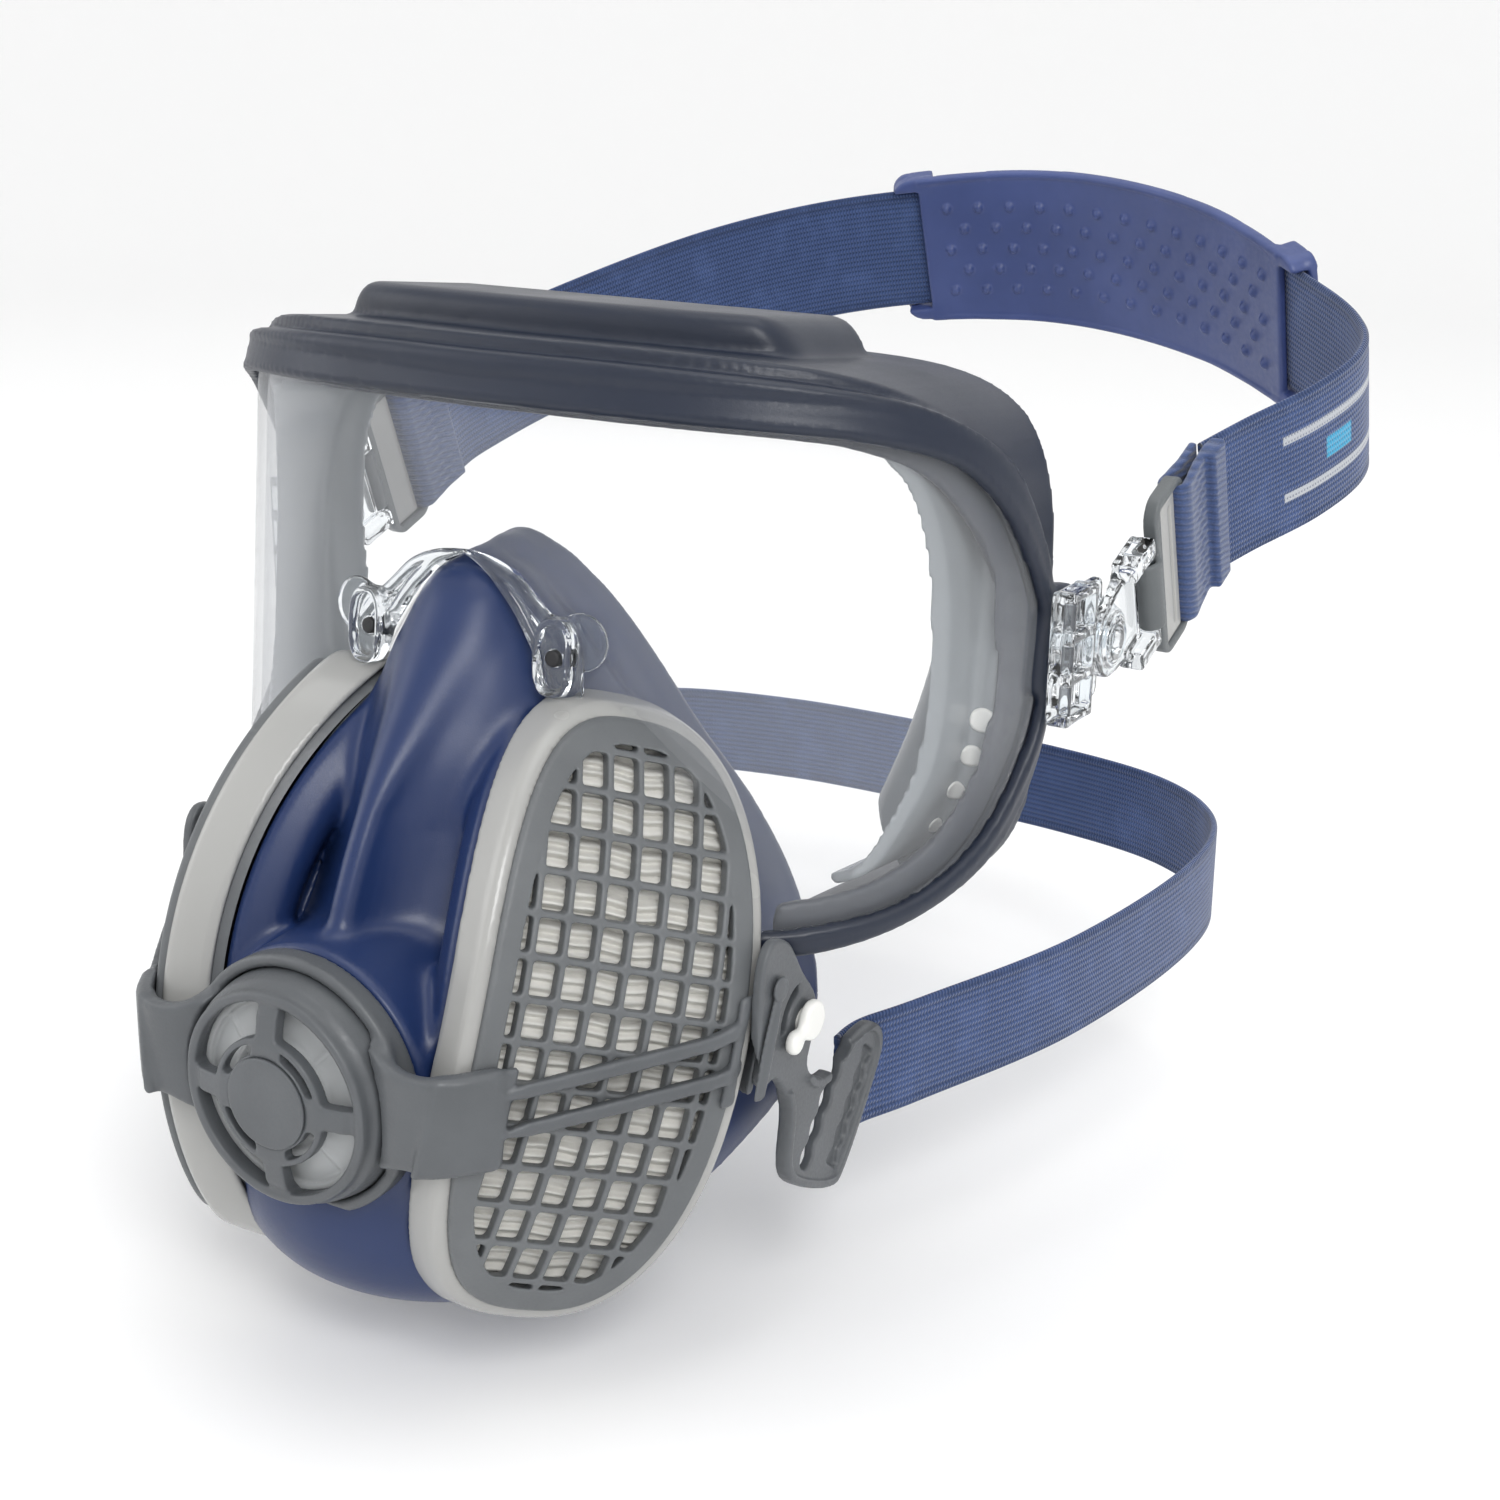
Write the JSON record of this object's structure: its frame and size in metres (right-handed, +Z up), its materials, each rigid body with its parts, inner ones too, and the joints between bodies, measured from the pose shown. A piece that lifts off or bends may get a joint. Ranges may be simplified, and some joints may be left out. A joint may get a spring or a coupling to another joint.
{
  "type": "respirator",
  "caption": "Full face respirator with a clear wrap-round lens, side filters, a front exhale valve, and head and neck straps.",
  "frame": {"origin": "middle of the opening at the back that the face goes into", "axes": "-Y is the front, where the exhale valve points; +X is the wearer's left; +Z is up"},
  "size_m": [0.2468, 0.3335, 0.2176],
  "materials": {
    "lens_clear": "clear polycarbonate, hard coated",
    "goggle_rubber": "dark slate-navy rubber, soft satin, slightly dusty",
    "lining_rubber": "grey smooth silicone-like rubber, glossy",
    "mask_rubber": "deep blue rubber, satin",
    "clear_plastic": "clear polycarbonate",
    "grey_plastic": "mid-dark grey moulded nylon, fine texture",
    "badge_plastic": "mid-dark grey plastic, slightly dished",
    "buckle_plastic": "grey moulded plastic",
    "grille_plastic": "dark grey moulded plastic",
    "pale_plastic": "light warm-grey satin plastic",
    "filter_paper": "off-white pleated filter paper",
    "silicone": "translucent silicone",
    "black_rubber": "black rubber",
    "white_plastic": "off-white plastic",
    "webbing": "mid-blue knitted elastic webbing",
    "pad_plastic": "blue-violet flexible plastic, satin"
  },
  "bodies": {
    "mask": {"lens": "lens_clear", "goggle_frame": "goggle_rubber", "goggle_skirt": "goggle_rubber", "seal_lining": "lining_rubber", "lining_dots": "white_plastic", "nose_clamp": "clear_plastic", "nose_pins": "grey_plastic", "clip_base_left": "clear_plastic", "clip_base_right": "clear_plastic", "pivot_stud_left": "clear_plastic", "pivot_stud_right": "clear_plastic", "lower_strap": "webbing", "facepiece": "mask_rubber", "face_seal_lip": "mask_rubber", "filter_rim_left": "pale_plastic", "filter_rim_right": "pale_plastic", "filter_grille_left": "grille_plastic", "filter_grille_right": "grille_plastic", "filter_media_left": "filter_paper", "filter_media_right": "filter_paper", "filter_back_left": "grille_plastic", "filter_back_right": "grille_plastic", "filter_gasket_left": "black_rubber", "filter_gasket_right": "black_rubber", "port_ring_left": "grey_plastic", "port_ring_right": "grey_plastic", "exhale_seat": "grey_plastic", "exhale_housing": "clear_plastic", "valve_cover": "grey_plastic", "cover_badge": "badge_plastic", "yoke": "grey_plastic", "side_plate_left": "grey_plastic", "side_plate_right": "grey_plastic", "plate_rivets": "grey_plastic"},
    "harness": {"clip_link_left": "clear_plastic", "clip_link_right": "clear_plastic", "upper_strap": "webbing", "head_pad": "pad_plastic"},
    "buckle_left": {"buckle_left": "buckle_plastic", "strap_end_left": "webbing"},
    "buckle_right": {"buckle_right": "buckle_plastic", "strap_end_right": "webbing"},
    "lock_left": {"lock_pin_left": "white_plastic"},
    "lock_right": {"lock_pin_right": "white_plastic"},
    "exhale_valve": {"exhale_flap": "silicone"},
    "inhale_valve_left": {"inhale_flap_left": "silicone"},
    "inhale_valve_right": {"inhale_flap_right": "silicone"}
  },
  "joints": [
    {"name": "harness_pivot", "type": "hinge", "parent": "mask", "child": "harness", "pos_m": [0, 0.059, 0.019], "axis": [1, 0, 0], "range_deg": [-30, 20]},
    {"name": "buckle_left_pivot", "type": "hinge", "parent": "harness", "child": "buckle_left", "pos_m": [0.1103, 0.0768, 0.02565], "axis": [0, -0.3502, 0.9367], "range_deg": [-12, 12]},
    {"name": "buckle_right_pivot", "type": "hinge", "parent": "harness", "child": "buckle_right", "pos_m": [-0.1103, 0.0768, 0.02565], "axis": [0, -0.3502, 0.9367], "range_deg": [-12, 12]},
    {"name": "lock_left_turn", "type": "hinge", "parent": "mask", "child": "lock_left", "pos_m": [0.075, -0.018, -0.049], "axis": [1, 0, 0], "range_deg": [0, 60]},
    {"name": "lock_right_turn", "type": "hinge", "parent": "mask", "child": "lock_right", "pos_m": [-0.075, -0.018, -0.049], "axis": [1, 0, 0], "range_deg": [0, 60]},
    {"name": "exhale_lift", "type": "slide", "parent": "mask", "child": "exhale_valve", "axis": [0, -1, 0], "range_m": [0, 0.002], "stiffness_N_per_m": 30, "springref_m": -0.001},
    {"name": "inhale_left_lift", "type": "slide", "parent": "mask", "child": "inhale_valve_left", "axis": [-0.7986, 0.5618, -0.2157], "range_m": [0, 0.0015], "stiffness_N_per_m": 30, "springref_m": -0.001},
    {"name": "inhale_right_lift", "type": "slide", "parent": "mask", "child": "inhale_valve_right", "axis": [0.7986, 0.5618, -0.2157], "range_m": [0, 0.0015], "stiffness_N_per_m": 30, "springref_m": -0.001}
  ]
}
